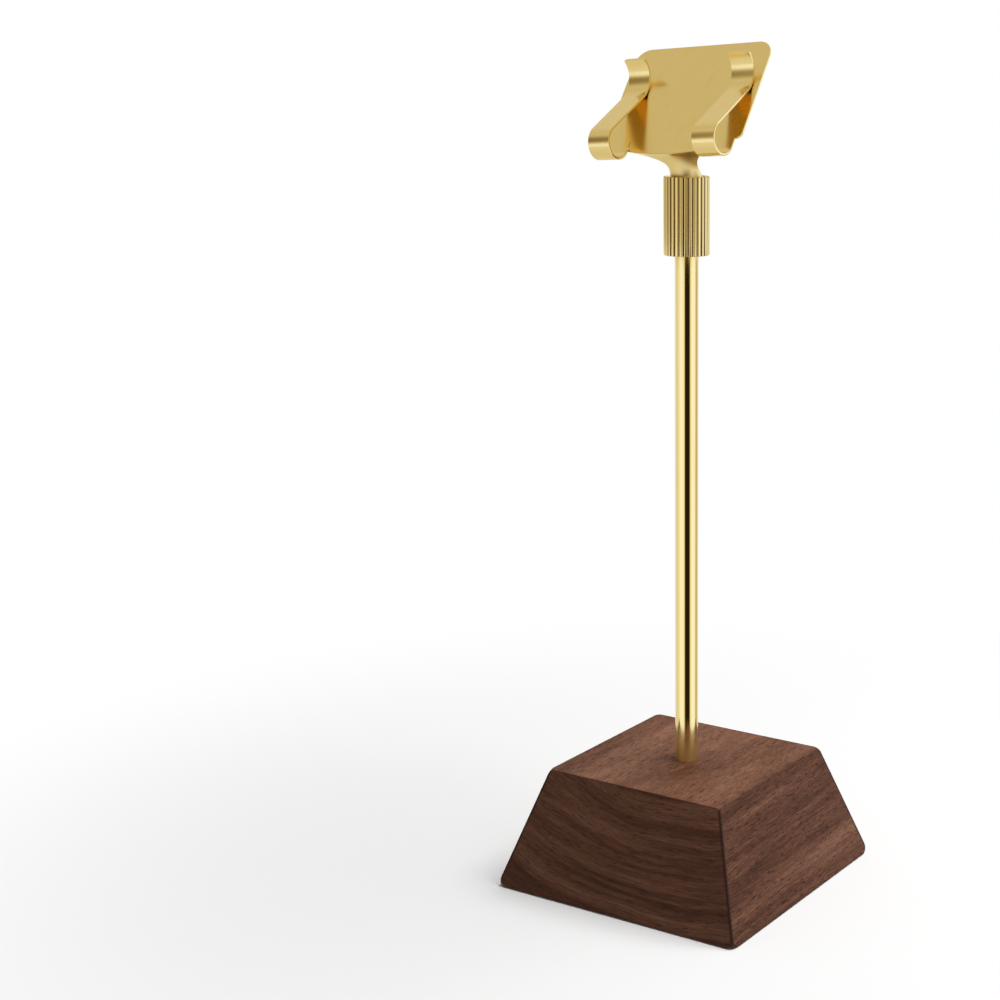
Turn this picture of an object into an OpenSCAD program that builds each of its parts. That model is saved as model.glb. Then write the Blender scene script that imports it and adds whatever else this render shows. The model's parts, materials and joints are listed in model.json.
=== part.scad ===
// A table sign holder: a walnut block, a thin round post, and a spring clip
// on a ball joint that a knurled sleeve locks.
// The origin is at the middle of the underside. Millimetres, +Z up, the clip faces -Y.

/* [Base] */
// Side of the block at its lower edge
base_side = 60; // [45:0.5:90]
// Side of the block at its top
base_top_side = 43; // [30:0.5:60]
// Height of the top above the table
base_height = 26; // [22:0.5:45]
// How much the four corner edges are eased, measured along a diagonal
corner_ease = 0.35; // [0.1:0.05:1.5]
// How far the post goes down into the block
post_socket = 15; // [10:0.5:18]
// Thickness of the wood between the post and the washer
web = 3; // [2:0.25:5]
// Radius of the counterbore for the screw head
counterbore_r = 4.2; // [3.9:0.1:7]

/* [Pad] */
// Thickness of the pad
pad_t = 1; // [0.6:0.1:2]
// How far the pad stands out below the wood
pad_proud = 0.3; // [0.1:0.05:0.5]
// Distance from the block's lower edge to the pad
pad_inset = 4; // [2:0.5:10]
// Gap round the pad in its pocket
pad_gap = 0.15; // [0.05:0.05:0.3]

/* [Fixing screw] */
// Radius of the thread
screw_r = 1.5; // [1:0.1:1.7]
// Length of the screw under its head
screw_len = 11; // [7:0.5:14]
// Radius of the head
screw_head_r = 2.9; // [2.2:0.1:3.4]
// Height of the head
screw_head_h = 1.9; // [1.2:0.1:2.5]
// Width across flats of the hexagon socket
hex_key = 2; // [1.3:0.1:2.5]
// Depth of the hexagon socket
hex_depth = 1.1; // [0.5:0.1:1.5]
// Radius of the washer
washer_r = 3.6; // [3.2:0.1:3.9]
// Thickness of the washer
washer_t = 0.6; // [0.4:0.1:1]

/* [Post] */
// Length of post that shows between the block and the sleeve
post_visible = 111; // [20:0.1:400]
// Radius of the post
post_r = 2.5; // [2.2:0.05:2.7]
// Depth of the tapped hole in the foot of the post
foot_hole = 10; // [8.2:0.2:14]

/* [Lock sleeve] */
// Length of the sleeve
sleeve_len = 16.3; // [15.8:0.1:24]
// Radius over the tips of the ridges
sleeve_r = 4.8; // [4.65:0.05:6]
// Depth of the grooves between the ridges
knurl_depth = 0.25; // [0.1:0.01:0.3]
// Number of ridges
knurl_count = 30; // [16:1:40]
// Radius of the mouth at the upper rim
mouth_r = 4.2; // [4:0.01:4.25]
// Depth of the cone inside the mouth
mouth_depth = 2; // [1.5:0.1:2.5]
// Radius of the upper chamber
chamber_r = 3.75; // [3.7:0.01:3.85]
// Thickness of the sleeve's floor
sleeve_floor = 1.8; // [1:0.1:2]
// Travel of the sleeve from locked to free
sleeve_travel = 0.5; // [0.2:0.05:0.8]

/* [Thread collar] */
// Outer radius of the threaded collar
collar_r = 3.4; // [3.1:0.05:3.55]
// Height of the collar
collar_h = 6; // [3:0.1:6.4]
// Distance from the top of the collar up to the end of the post
collar_drop = 0.6; // [0.2:0.1:0.8]

/* [Ball joint] */
// Radius of the ball
ball_r = 2.3; // [2.1:0.01:2.35]
// How far the ball's centre lies below the sleeve's rim
ball_drop = 0.8; // [0.7:0.05:1.3]
// Radius of the stud's neck
stud_neck_r = 0.85; // [0.6:0.05:1]
// Radius of the stud's flange
flange_r = 2.3; // [1.8:0.05:2.45]
// Thickness of the flange
flange_t = 0.8; // [0.5:0.05:1]
// Radius of the stud's threaded shank
shank_r = 1.25; // [0.8:0.05:1.4]
// Length of the shank
shank_len = 6; // [4:0.1:8]
// Thickness of the two nylon seats
seat_t = 0.39; // [0.3:0.01:0.42]
// Angle from the ball's equator at which both seats begin
seat_near = 12; // [11:1:20]
// Angle above the equator at which the upper seat ends
upper_seat_end = 50; // [30:1:60]
// Angle below the equator at which the lower seat ends
lower_seat_end = 55; // [30:1:60]
// Height of the pressure ring
ring_h = 2.8; // [2:0.05:3]
// Radius of the pressure ring's bore
ring_bore_r = 1.9; // [1.5:0.05:2.1]
// How far the ring's top lies below the ball's centre
ring_top_drop = 1.7; // [1.4:0.05:2]

/* [Clip plate] */
// Thickness of the sheet
sheet_t = 0.5; // [0.35:0.01:0.55]
// Width of the plate
plate_w = 34.8; // [30:0.1:60]
// Height of the plate
plate_h = 25.4; // [23:0.1:50]
// Radius of the two upper corners
plate_corner_r = 3.6; // [1:0.1:6]
// Height of the plate's side shoulders above its lower edge
shoulder_h = 2; // [1:0.1:3]
// How far the plate leans back
plate_lean = 35.5; // [20:0.5:45]
// Distance of the plate's lower edge in front of the post's axis
plate_forward = 5.8; // [5:0.1:8]
// Height of the plate's lower edge above the ball's centre
plate_rise = 6.5; // [6:0.1:8]

/* [Neck] */
// Height above the ball's centre at which the roll ends and the neck begins
neck_start = 0.75; // [0.5:0.05:1]
// Angle below the ball's equator at which the roll ends
socket_end = 40; // [25:1:45]
// Half angle that the rolled neck covers round the ball
roll_half_angle = 140; // [110:1:155]
// Half angle that the neck covers at its waist
waist_half_angle = 50; // [40:1:80]
// Radius of the neck at its waist
waist_r = 3.6; // [3.2:0.05:4]
// Height of the waist above the ball's centre
waist_rise = 4.7; // [4.3:0.05:5]
// How far the middle of the plate's lower edge dips below its ends
neck_dip = 0.9; // [0.5:0.05:1.5]

/* [Spring arms] */
// Width of an arm
arm_w = 5.4; // [3:0.1:8]
// Distance from the plate's side to the arm
arm_inset = 1.5; // [0.5:0.1:2]
// Gap between the arm and the neck
arm_side_gap = 0.3; // [0.1:0.05:0.6]
// Radius of the loop at the foot, to the middle of the sheet
loop_r = 3.35; // [2.6:0.05:4]
// Height of the line where the arm meets the plate
grip_h = 14.7; // [13:0.1:20]
// Radius of the bend at that line
grip_r = 4.9; // [3:0.1:6]
// Angle that the lip turns forward
lip_angle = 90; // [60:1:110]
// Gap left between the closed arm and the plate
grip_gap = 0.15; // [0.1:0.05:1]

/* [Rest pose] */
// How far the clip is turned about the post, clockwise from above
head_pan = 4; // [0:1:90]
// How far the clip leans to its left
head_roll = 3.4; // [0:0.1:8]

/* [Clearances] */
// Radial gap of a part that is pressed or screwed in
fixed_gap = 0.02; // [0.01:0.01:0.04]
// Radial gap of a thread or a running fit
running_gap = 0.05; // [0.03:0.01:0.06]
// Gap between the ball and its seats
seat_gap = 0.03; // [0.02:0.01:0.05]
// Gap between the seats and the rolled socket
socket_gap = 0.08; // [0.05:0.01:0.1]
// Radial gap of the screw in the wood
screw_gap = 0.2; // [0.1:0.05:0.4]
// Space left between the ring and the stud's flange when the joint is free
flange_gap = 0.2; // [0.1:0.05:0.3]

/* [Hidden] */
$fn = 96;
overrun = 1;

// Heights in the base
post_foot_z = base_height - post_socket;
web_z = post_foot_z - web;
washer_z = web_z - washer_t;

// Heights in the sleeve, from its rim down
sleeve_z = base_height + post_visible;
rim_z = sleeve_z + sleeve_len;
ball_z = rim_z - ball_drop;
ring_top_z = ball_z - ring_top_drop;
ring_z = ring_top_z - ring_h;
post_top_z = ring_z - sleeve_travel - flange_gap - flange_t;
collar_z = post_top_z - collar_drop - collar_h;

// Radii from the ball outward
seat_in_r = ball_r + seat_gap;
seat_out_r = seat_in_r + seat_t;
socket_in_r = seat_out_r + socket_gap;
socket_out_r = socket_in_r + sheet_t;
socket_mid_r = (socket_in_r + socket_out_r) / 2;
ring_seat_r = socket_out_r + running_gap;

// Places on the clip
arm_outer_x = plate_w / 2 - arm_inset;
arm_inner_x = arm_outer_x - arm_w;
neck_half_w = arm_inner_x - arm_side_gap;

// Steps along a curve
neck_steps_across = 40;
neck_steps_up = 16;
arc_steps = 28;

// A round block with straight or sloping walls
module tapered_disc(r1, r2, h) {
    rotate_extrude() polygon([[0, 0], [r1, 0], [r2, h], [0, h]]);
}

// A slab between two heights, wide enough to cut the ball joint's shells
module slab(low, high) {
    translate([-sleeve_r, -sleeve_r, low]) cube([2 * sleeve_r, 2 * sleeve_r, high - low]);
}

// The block's side view, drawn out from front to back; two of them crossed give its four slopes
module sloped_prism() {
    rotate([90, 0, 0])
        linear_extrude(height = base_side + overrun, center = true)
            polygon([[-base_side / 2, pad_proud], [base_side / 2, pad_proud],
                     [base_top_side / 2, base_height], [-base_top_side / 2, base_height]]);
}

module base_block() {
    diagonal = sqrt(2);
    intersection() {
        sloped_prism();
        rotate([0, 0, 90]) sloped_prism();
        translate([0, 0, pad_proud])
            tapered_disc(base_side / 2 * diagonal - corner_ease,
                      base_top_side / 2 * diagonal - corner_ease,
                      base_height - pad_proud);
    }
}

module base() {
    pocket = base_side - 2 * pad_inset;
    color("#3b2418") difference() {
        base_block();
        translate([-pocket / 2, -pocket / 2, -overrun]) cube([pocket, pocket, pad_t + overrun]);
        cylinder(r = counterbore_r, h = web_z);
        cylinder(r = screw_r + screw_gap, h = base_height);
        translate([0, 0, post_foot_z]) cylinder(r = post_r + fixed_gap, h = post_socket + overrun);
    }
}

module base_pad() {
    side = base_side - 2 * pad_inset - 2 * pad_gap;
    color("#1f1f1f") translate([-side / 2, -side / 2, 0]) cube([side, side, pad_t]);
}

module fixing_washer() {
    color("silver") translate([0, 0, washer_z]) difference() {
        cylinder(r = washer_r, h = washer_t);
        translate([0, 0, -overrun])
            cylinder(r = screw_r + screw_gap, h = washer_t + 2 * overrun);
    }
}

module fixing_screw() {
    color("silver") translate([0, 0, washer_z]) difference() {
        union() {
            cylinder(r = screw_r, h = screw_len);
            translate([0, 0, -screw_head_h]) cylinder(r = screw_head_r, h = screw_head_h);
        }
        translate([0, 0, -screw_head_h - overrun])
            cylinder(r = hex_key / sqrt(3), h = hex_depth + overrun, $fn = 6);
    }
}

module post() {
    color("#d8b25a") difference() {
        translate([0, 0, post_foot_z]) cylinder(r = post_r, h = post_top_z - post_foot_z);
        translate([0, 0, post_foot_z - overrun])
            cylinder(r = screw_r + running_gap, h = foot_hole + overrun);
        translate([0, 0, post_top_z - shank_len - flange_gap])
            cylinder(r = shank_r + running_gap, h = shank_len + flange_gap + overrun);
    }
}

module thread_collar() {
    color("#b08d3c") translate([0, 0, collar_z]) difference() {
        cylinder(r = collar_r, h = collar_h);
        translate([0, 0, -overrun]) cylinder(r = post_r + fixed_gap, h = collar_h + 2 * overrun);
    }
}

module ball_stud() {
    color("silver") union() {
        translate([0, 0, ball_z]) sphere(r = ball_r);
        translate([0, 0, post_top_z]) cylinder(r = stud_neck_r, h = ball_z - post_top_z);
        translate([0, 0, post_top_z]) cylinder(r = flange_r, h = flange_t);
        translate([0, 0, post_top_z - shank_len]) cylinder(r = shank_r, h = shank_len);
    }
}

// The shell between two balls, from one height to another
module shell_zone(r_in, r_out, low, high) {
    intersection() {
        difference() {
            sphere(r = r_out);
            sphere(r = r_in);
        }
        slab(low, high);
    }
}

module lower_seat() {
    color("ivory") translate([0, 0, ball_z])
        shell_zone(seat_in_r, seat_out_r,
                   -seat_in_r * sin(lower_seat_end), -seat_in_r * sin(seat_near));
}

module upper_seat() {
    color("ivory") translate([0, 0, ball_z])
        shell_zone(seat_in_r, seat_out_r,
                   seat_in_r * sin(seat_near), seat_in_r * sin(upper_seat_end));
}

module pressure_ring() {
    color("#b08d3c") difference() {
        translate([0, 0, ring_z]) cylinder(r = chamber_r - running_gap, h = ring_h);
        translate([0, 0, ball_z]) sphere(r = ring_seat_r);
        translate([0, 0, ring_z - overrun]) cylinder(r = ring_bore_r, h = ring_h + overrun);
    }
}

// The sleeve's outline: ridges with narrow flat tips and narrow grooves
module knurl_outline() {
    tip_share = 0.36;
    groove_share = 0.18;
    pitch = 360 / knurl_count;
    root_r = sleeve_r - knurl_depth;
    half_tip = pitch * tip_share / 2;
    half_groove = pitch * groove_share / 2;
    polygon([for (i = [0 : knurl_count - 1])
             for (p = [[-half_tip, sleeve_r], [half_tip, sleeve_r],
                       [pitch / 2 - half_groove, root_r], [pitch / 2 + half_groove, root_r]])
             [p[1] * cos(i * pitch + p[0]), p[1] * sin(i * pitch + p[0])]]);
}

module lock_sleeve() {
    floor_z = sleeve_z + sleeve_floor;
    shoulder_z = ring_z - fixed_gap;
    mouth_z = rim_z - mouth_depth;
    color("#c9a24a") difference() {
        translate([0, 0, sleeve_z]) linear_extrude(height = sleeve_len) knurl_outline();
        translate([0, 0, sleeve_z - overrun])
            cylinder(r = post_r + running_gap, h = sleeve_len);
        translate([0, 0, floor_z])
            cylinder(r = collar_r + running_gap, h = rim_z - floor_z);
        translate([0, 0, shoulder_z]) cylinder(r = chamber_r, h = rim_z - shoulder_z);
        translate([0, 0, mouth_z]) tapered_disc(chamber_r, mouth_r, mouth_depth);
    }
}

// Puts a piece of the clip, built round the ball's centre, into the rest pose
module in_head() {
    translate([0, 0, ball_z])
        rotate([0, 0, -head_pan])
            rotate([0, -head_roll, 0])
                children();
}

// Puts a piece that is built on the upright plate into its place on the clip
module on_plate() {
    in_head()
        translate([0, -plate_forward, plate_rise])
            rotate([-plate_lean, 0, 0])
                children();
}

// Height of the plate's lower edge at a share of its half width
function edge_dip(s) = -neck_dip * (1 - s * s);

module plate_outline() {
    top_x = plate_w / 2 - plate_corner_r;
    top_z = plate_h - plate_corner_r;
    translate([-plate_w / 2, shoulder_h]) square([plate_w, top_z - shoulder_h]);
    translate([-top_x, shoulder_h]) square([2 * top_x, plate_h - shoulder_h]);
    for (side = [-1, 1]) translate([side * top_x, top_z]) circle(r = plate_corner_r);
    polygon(concat([[neck_half_w, shoulder_h + sheet_t], [-neck_half_w, shoulder_h + sheet_t]],
                   [for (i = [0 : neck_steps_across])
                    let (s = 2 * i / neck_steps_across - 1)
                    [s * neck_half_w, edge_dip(s)]]));
}

// The neck's middle surface. s runs across from -1 to 1, u runs up from 0 to 1:
// from the rolled socket, past the waist, to the plate's lower edge.
function on_circle(r, angle, z) = [r * sin(angle), -r * cos(angle), z];
function neck_foot(s) = on_circle(socket_mid_r, s * roll_half_angle, neck_start);
function neck_waist(s) = on_circle(waist_r, s * waist_half_angle, waist_rise);
function neck_top(s) = [s * neck_half_w,
                        -plate_forward + edge_dip(s) * sin(plate_lean),
                        plate_rise + edge_dip(s) * cos(plate_lean)];
function neck_point(s, u) = (1 - u) * (1 - u) * neck_foot(s)
                          + 2 * u * (1 - u) * neck_waist(s)
                          + u * u * neck_top(s);
small_step = 0.001;
function unit(v) = v / norm(v);
function neck_normal(s, u) = unit(cross(neck_point(s + small_step, u) - neck_point(s - small_step, u),
                                        neck_point(s, u + small_step) - neck_point(s, u - small_step)));

// A sheet of even thickness along the neck's middle surface
module neck_sheet() {
    rows = neck_steps_up + 1;
    columns = neck_steps_across + 1;
    skin = rows * columns;
    function at(i, j) = i * rows + j;
    points = [for (side = [1, -1])
              for (i = [0 : neck_steps_across])
              for (j = [0 : neck_steps_up])
              let (s = 2 * i / neck_steps_across - 1, u = j / neck_steps_up)
              neck_point(s, u) + side * sheet_t / 2 * neck_normal(s, u)];
    front = [for (i = [0 : neck_steps_across - 1])
             for (j = [0 : neck_steps_up - 1])
             for (t = [[at(i, j), at(i, j + 1), at(i + 1, j + 1)],
                       [at(i, j), at(i + 1, j + 1), at(i + 1, j)]])
             t];
    back = [for (t = front) [t[0] + skin, t[2] + skin, t[1] + skin]];
    last = neck_steps_across;
    top = neck_steps_up;
    sides = [for (j = [0 : neck_steps_up - 1])
             for (q = [[at(0, j), at(0, j) + skin, at(0, j + 1) + skin, at(0, j + 1)],
                       [at(last, j), at(last, j + 1), at(last, j + 1) + skin, at(last, j) + skin]])
             for (t = [[q[0], q[1], q[2]], [q[0], q[2], q[3]]])
             t];
    ends = [for (i = [0 : neck_steps_across - 1])
            for (q = [[at(i, 0), at(i + 1, 0), at(i + 1, 0) + skin, at(i, 0) + skin],
                      [at(i, top), at(i, top) + skin, at(i + 1, top) + skin, at(i + 1, top)]])
            for (t = [[q[0], q[1], q[2]], [q[0], q[2], q[3]]])
            t];
    polyhedron(points = points, faces = concat(front, back, sides, ends));
}

// The rolled end of the neck that wraps the ball
module socket() {
    open_half = 180 - roll_half_angle;
    reach = 2 * socket_out_r;
    bottom = -socket_out_r * sin(socket_end);
    seam = [[0, 0], [reach * tan(open_half) , reach], [-reach * tan(open_half), reach]];
    difference() {
        union() {
            intersection() {
                sphere(r = socket_out_r);
                slab(bottom, 0);
            }
            cylinder(r = socket_out_r, h = neck_start + sheet_t / 2);
        }
        sphere(r = socket_in_r);
        cylinder(r = socket_in_r, h = neck_start + overrun);
        translate([0, 0, -reach]) linear_extrude(height = 2 * reach) polygon(seam);
    }
}

module clip_plate() {
    color("#d6b56a") union() {
        on_plate() rotate([90, 0, 0])
            linear_extrude(height = sheet_t, center = true) plate_outline();
        in_head() neck_sheet();
        in_head() socket();
    }
}

// An arm's side view. The first number runs forward from the plate's middle,
// the second runs up the plate. The loop and the grip bend are joined by a
// straight run that touches both arcs.
grip_x = grip_r + sheet_t + grip_gap;
run_reach = norm([grip_x - loop_r, grip_h]);
run_lean = asin((grip_r + loop_r) / run_reach) - atan2(grip_x - loop_r, grip_h);
function loop_point(r, angle) = [loop_r + r * cos(angle), r * sin(angle)];
function grip_point(r, angle) = [grip_x + r * cos(angle), grip_h + r * sin(angle)];
function arc_angles(a, b) = [for (i = [0 : arc_steps]) a + (b - a) * i / arc_steps];

module arm_profile() {
    half = sheet_t / 2;
    outer = concat([[-half, shoulder_h]],
                   [for (a = arc_angles(180, 360 + run_lean)) loop_point(loop_r + half, a)],
                   [for (a = arc_angles(180 + run_lean, 180 - lip_angle))
                    grip_point(grip_r - half, a)]);
    inner = concat([[half, shoulder_h]],
                   [for (a = arc_angles(180, 360 + run_lean)) loop_point(loop_r - half, a)],
                   [for (a = arc_angles(180 + run_lean, 180 - lip_angle))
                    grip_point(grip_r + half, a)]);
    polygon(concat(outer, [for (i = [len(inner) - 1 : -1 : 0]) inner[i]]));
}

// The profile stands upright with its first number along -Y
module arm(side) {
    color("#d6b56a") on_plate()
        translate([side * (arm_outer_x + arm_inner_x) / 2, 0, 0])
            rotate([90, 0, -90])
                linear_extrude(height = arm_w, center = true) arm_profile();
}

module left_arm() {
    arm(-1);
}

module right_arm() {
    arm(1);
}

base();
base_pad();
fixing_washer();
fixing_screw();
post();
thread_collar();
ball_stud();
lower_seat();
upper_seat();
pressure_ring();
lock_sleeve();
clip_plate();
left_arm();
right_arm();
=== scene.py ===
# %% [markdown]
# # A table sign holder, dressed piece by piece
# The real thing is a walnut block with a polished gold post in it. A knurled sleeve on
# the post locks a ball joint, and a bent sheet-metal clip on that joint grips a card.
# The working model comes in first, as a fixed frame. Every new piece is made where the
# frame says, in metres, so nothing has to be fitted afterwards.

# %% Load the frame
import json
import math

import bmesh
import bpy
from mathutils import Matrix, Vector


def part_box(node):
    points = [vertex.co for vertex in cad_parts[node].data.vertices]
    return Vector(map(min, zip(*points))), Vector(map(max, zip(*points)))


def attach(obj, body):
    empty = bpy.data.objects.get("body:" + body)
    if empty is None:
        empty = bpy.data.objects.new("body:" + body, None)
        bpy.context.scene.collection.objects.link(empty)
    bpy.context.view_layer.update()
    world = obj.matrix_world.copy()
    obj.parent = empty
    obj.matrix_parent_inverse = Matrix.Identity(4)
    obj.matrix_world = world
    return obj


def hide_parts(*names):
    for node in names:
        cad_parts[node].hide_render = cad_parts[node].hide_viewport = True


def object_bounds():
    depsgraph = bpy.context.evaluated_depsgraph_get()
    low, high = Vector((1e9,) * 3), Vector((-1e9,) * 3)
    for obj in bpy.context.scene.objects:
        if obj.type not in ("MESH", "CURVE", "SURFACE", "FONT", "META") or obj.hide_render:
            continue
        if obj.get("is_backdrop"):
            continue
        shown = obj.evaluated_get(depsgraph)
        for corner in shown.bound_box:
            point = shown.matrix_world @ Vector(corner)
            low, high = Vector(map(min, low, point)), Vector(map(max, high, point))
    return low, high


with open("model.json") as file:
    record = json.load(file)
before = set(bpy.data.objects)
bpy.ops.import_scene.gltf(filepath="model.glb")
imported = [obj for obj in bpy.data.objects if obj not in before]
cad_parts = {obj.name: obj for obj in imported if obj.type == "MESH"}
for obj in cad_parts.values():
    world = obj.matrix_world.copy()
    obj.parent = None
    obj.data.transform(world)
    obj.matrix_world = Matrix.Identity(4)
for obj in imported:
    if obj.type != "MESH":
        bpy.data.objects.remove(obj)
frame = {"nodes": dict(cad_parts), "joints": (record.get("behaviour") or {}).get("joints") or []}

MM = 0.001
nodes = frame["nodes"]
cad_low, cad_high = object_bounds()
print("nodes:", sorted(nodes))
print("frame box in mm:", [round(v / MM, 1) for v in (*cad_low, *cad_high)])

# %% [markdown]
# ## Hand tools
# Modelling by hand is always the same few moves: deselect, add a primitive, go into
# edit mode, pick something by where it is, and run an operator on it. These helpers are
# those moves. Picking by place keeps the script readable, because no vertex numbers
# appear in it.

# %% Helpers that pick
# what lies within this distance of a place counts as being there
NEAR = 0.1 * MM


def start_clean():
    """Leaves edit mode and deselects everything."""
    if bpy.context.object and bpy.context.object.mode != "OBJECT":
        bpy.ops.object.mode_set(mode="OBJECT")
    bpy.ops.object.select_all(action="DESELECT")


def take(name):
    """Names the primitive that was just added, applies its place and opens it for editing."""
    piece = bpy.context.object
    piece.name = piece.data.name = name
    bpy.ops.object.transform_apply(location=True, rotation=True, scale=True)
    bpy.ops.object.mode_set(mode="EDIT")
    return piece


def pick(piece, kind, test):
    """Selects the vertices, edges or faces whose middle passes the test."""
    bpy.ops.mesh.select_mode(type=kind)
    bpy.ops.mesh.select_all(action="DESELECT")
    mesh = bmesh.from_edit_mesh(piece.data)
    group = {"VERT": mesh.verts, "EDGE": mesh.edges, "FACE": mesh.faces}[kind]
    chosen = 0
    for item in group:
        if kind == "VERT":
            middle = item.co
        else:
            middle = sum((v.co for v in item.verts), Vector()) / len(item.verts)
        if test(middle, item):
            item.select = True
            chosen += 1
    mesh.select_flush_mode()
    bmesh.update_edit_mesh(piece.data)
    return chosen


# %% Helpers that finish a piece


def close(piece, outward=True):
    """Merges doubles, turns the faces outwards and goes back to object mode."""
    bpy.ops.mesh.select_mode(type="VERT")
    bpy.ops.mesh.select_all(action="SELECT")
    bpy.ops.mesh.remove_doubles(threshold=0.002 * MM)
    if outward:
        bpy.ops.mesh.normals_make_consistent(inside=False)
    bpy.ops.object.mode_set(mode="OBJECT")
    return piece


def apply_modifier(piece, kind, **settings):
    """Adds one modifier, sets it and applies it."""
    start_clean()
    piece.select_set(True)
    bpy.context.view_layer.objects.active = piece
    modifier = piece.modifiers.new(kind.title(), kind)
    for key, value in settings.items():
        setattr(modifier, key, value)
    bpy.ops.object.modifier_apply(modifier=modifier.name)


def smooth(piece, degrees):
    """Shades smooth, keeps edges sharper than this angle and keeps wide faces flat."""
    start_clean()
    piece.select_set(True)
    bpy.context.view_layer.objects.active = piece
    bpy.ops.object.shade_smooth_by_angle(angle=math.radians(degrees))
    apply_modifier(piece, "WEIGHTED_NORMAL", keep_sharp=True)


def report(piece):
    """Prints what was made."""
    points = [v.co for v in piece.data.vertices]
    size = [round((max(p[i] for p in points) - min(p[i] for p in points)) / MM, 2) for i in range(3)]
    print(piece.name, size, "mm,", len(piece.data.polygons), "faces")


# %% [markdown]
# ## The camera
# The photograph looks down on the block by about twenty degrees but is almost level
# with the clip, so the camera is close, at the clip's own height and tipped down. The
# holder stands right of the picture's middle. A shift puts it there and keeps the post
# upright, where turning the camera would lean it.

# %% Camera
CAMERA_AZIMUTH = math.radians(32.14)
CAMERA_DISTANCE = 410 * MM
CAMERA_HEIGHT = 178.7 * MM
CAMERA_PITCH = 0.209
CAMERA_LENS = 70.59
SHIFT_LEFT = -0.1866
SHIFT_DOWN = -0.0333

camera = bpy.data.objects.new("camera", bpy.data.cameras.new("camera"))
bpy.context.scene.collection.objects.link(camera)
camera.location = (
    CAMERA_DISTANCE * math.sin(CAMERA_AZIMUTH),
    -CAMERA_DISTANCE * math.cos(CAMERA_AZIMUTH),
    CAMERA_HEIGHT,
)
camera.rotation_euler = (math.pi / 2 - CAMERA_PITCH, 0, CAMERA_AZIMUTH)
camera.data.sensor_width = 36
camera.data.lens = CAMERA_LENS
camera.data.shift_x = SHIFT_LEFT
camera.data.shift_y = SHIFT_DOWN
camera.data.clip_start = 0.01
camera.data.clip_end = 20
bpy.context.scene.camera = camera
print("camera at", [round(v / MM, 1) for v in camera.location], "mm")

# %% [markdown]
# ## The walnut block
# The block is a four-sided frustum, sawn and then sanded. Its edges are only just
# broken, while its corners, which sanding reaches from three sides, are rounder, and the
# foot's corners most of all. That takes two kinds of bevel in this order: the corner
# points are rounded first, the top's a little and the foot's more, and then a fine bevel
# runs along every edge, also round the new corners.

# %% Walnut block: frustum and bevels
BLOCK_SIDE = 60 * MM
BLOCK_TOP_SIDE = 43 * MM
BLOCK_FOOT = 0.3 * MM
BLOCK_TOP = 26 * MM
FOOT_CORNER_ROUND = 2.4 * MM
TOP_CORNER_ROUND = 1.4 * MM
EDGE_ROUND = 0.42 * MM
CORNER_STEPS = 6

start_clean()
bpy.ops.mesh.primitive_cube_add(
    size=1,
    location=(0, 0, (BLOCK_FOOT + BLOCK_TOP) / 2),
    scale=(BLOCK_SIDE, BLOCK_SIDE, BLOCK_TOP - BLOCK_FOOT),
)
block = take("walnut_block")
pick(block, "VERT", lambda at, v: at.z > BLOCK_TOP - NEAR)
taper = BLOCK_TOP_SIDE / BLOCK_SIDE
bpy.ops.transform.resize(value=(taper, taper, 1), center_override=(0, 0, BLOCK_TOP))
bpy.ops.mesh.bevel(offset=TOP_CORNER_ROUND, segments=CORNER_STEPS, affect="VERTICES")
pick(block, "VERT", lambda at, v: at.z < BLOCK_FOOT + NEAR)
bpy.ops.mesh.bevel(offset=FOOT_CORNER_ROUND, segments=CORNER_STEPS, affect="VERTICES")
pick(block, "EDGE", lambda at, e: e.calc_face_angle(0) > math.radians(18))
bpy.ops.mesh.bevel(offset=EDGE_ROUND, segments=3, clamp_overlap=True)
close(block)
report(block)

# %% [markdown]
# The post stands in a drilled hole and a screw holds it from below, in a counterbore
# that the pad covers. The holes are cut with the same cylinders that a drill press
# would follow, and after the bevels, so that their own edges stay sharp.

# %% Walnut block: drilled and routed
POST_R = 2.5 * MM
POST_FOOT = 11 * MM
WASHER_SEAT = 8 * MM
SCREW_HOLE_R = 1.7 * MM
COUNTERBORE_R = 4.2 * MM
DRILL_OVERRUN = 1 * MM
PAD_SIDE = 51.7 * MM
PAD_THICK = 1 * MM
PAD_GAP = 0.15 * MM


def cut_with(piece, cutter):
    """Takes the cutter's shape out of the piece and deletes the cutter."""
    bpy.ops.object.mode_set(mode="OBJECT")
    apply_modifier(piece, "BOOLEAN", operation="DIFFERENCE", solver="EXACT", object=cutter)
    bpy.data.objects.remove(cutter)


def drill(piece, radius, low, high):
    """Drills a round upright hole between two heights."""
    start_clean()
    bpy.ops.mesh.primitive_cylinder_add(
        vertices=96, radius=radius, depth=high - low, location=(0, 0, (low + high) / 2)
    )
    cut_with(piece, take("drill"))


drill(block, POST_R + 0.02 * MM, POST_FOOT, BLOCK_TOP + 2 * DRILL_OVERRUN)
drill(block, SCREW_HOLE_R, WASHER_SEAT, POST_FOOT + NEAR)
drill(block, COUNTERBORE_R, -DRILL_OVERRUN, WASHER_SEAT)
start_clean()
pocket = PAD_SIDE + 2 * PAD_GAP
bpy.ops.mesh.primitive_cube_add(
    size=1, location=(0, 0, 0), scale=(pocket, pocket, 2 * PAD_THICK)
)
cut_with(block, take("router"))
smooth(block, 40)
report(block)

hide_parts("base")
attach(block, "stand")

# %% [markdown]
# ## The felt pad
# Under the block lies a square of pressed felt that keeps it from marking the table.
# It is a thin plate with soft rims and corners, so a box with two bevels is enough:
# a wide one on the four upright corners, then a fine one round both rims.

# %% Felt pad
PAD_CORNER = 1.5 * MM
PAD_RIM = 0.28 * MM

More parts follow.
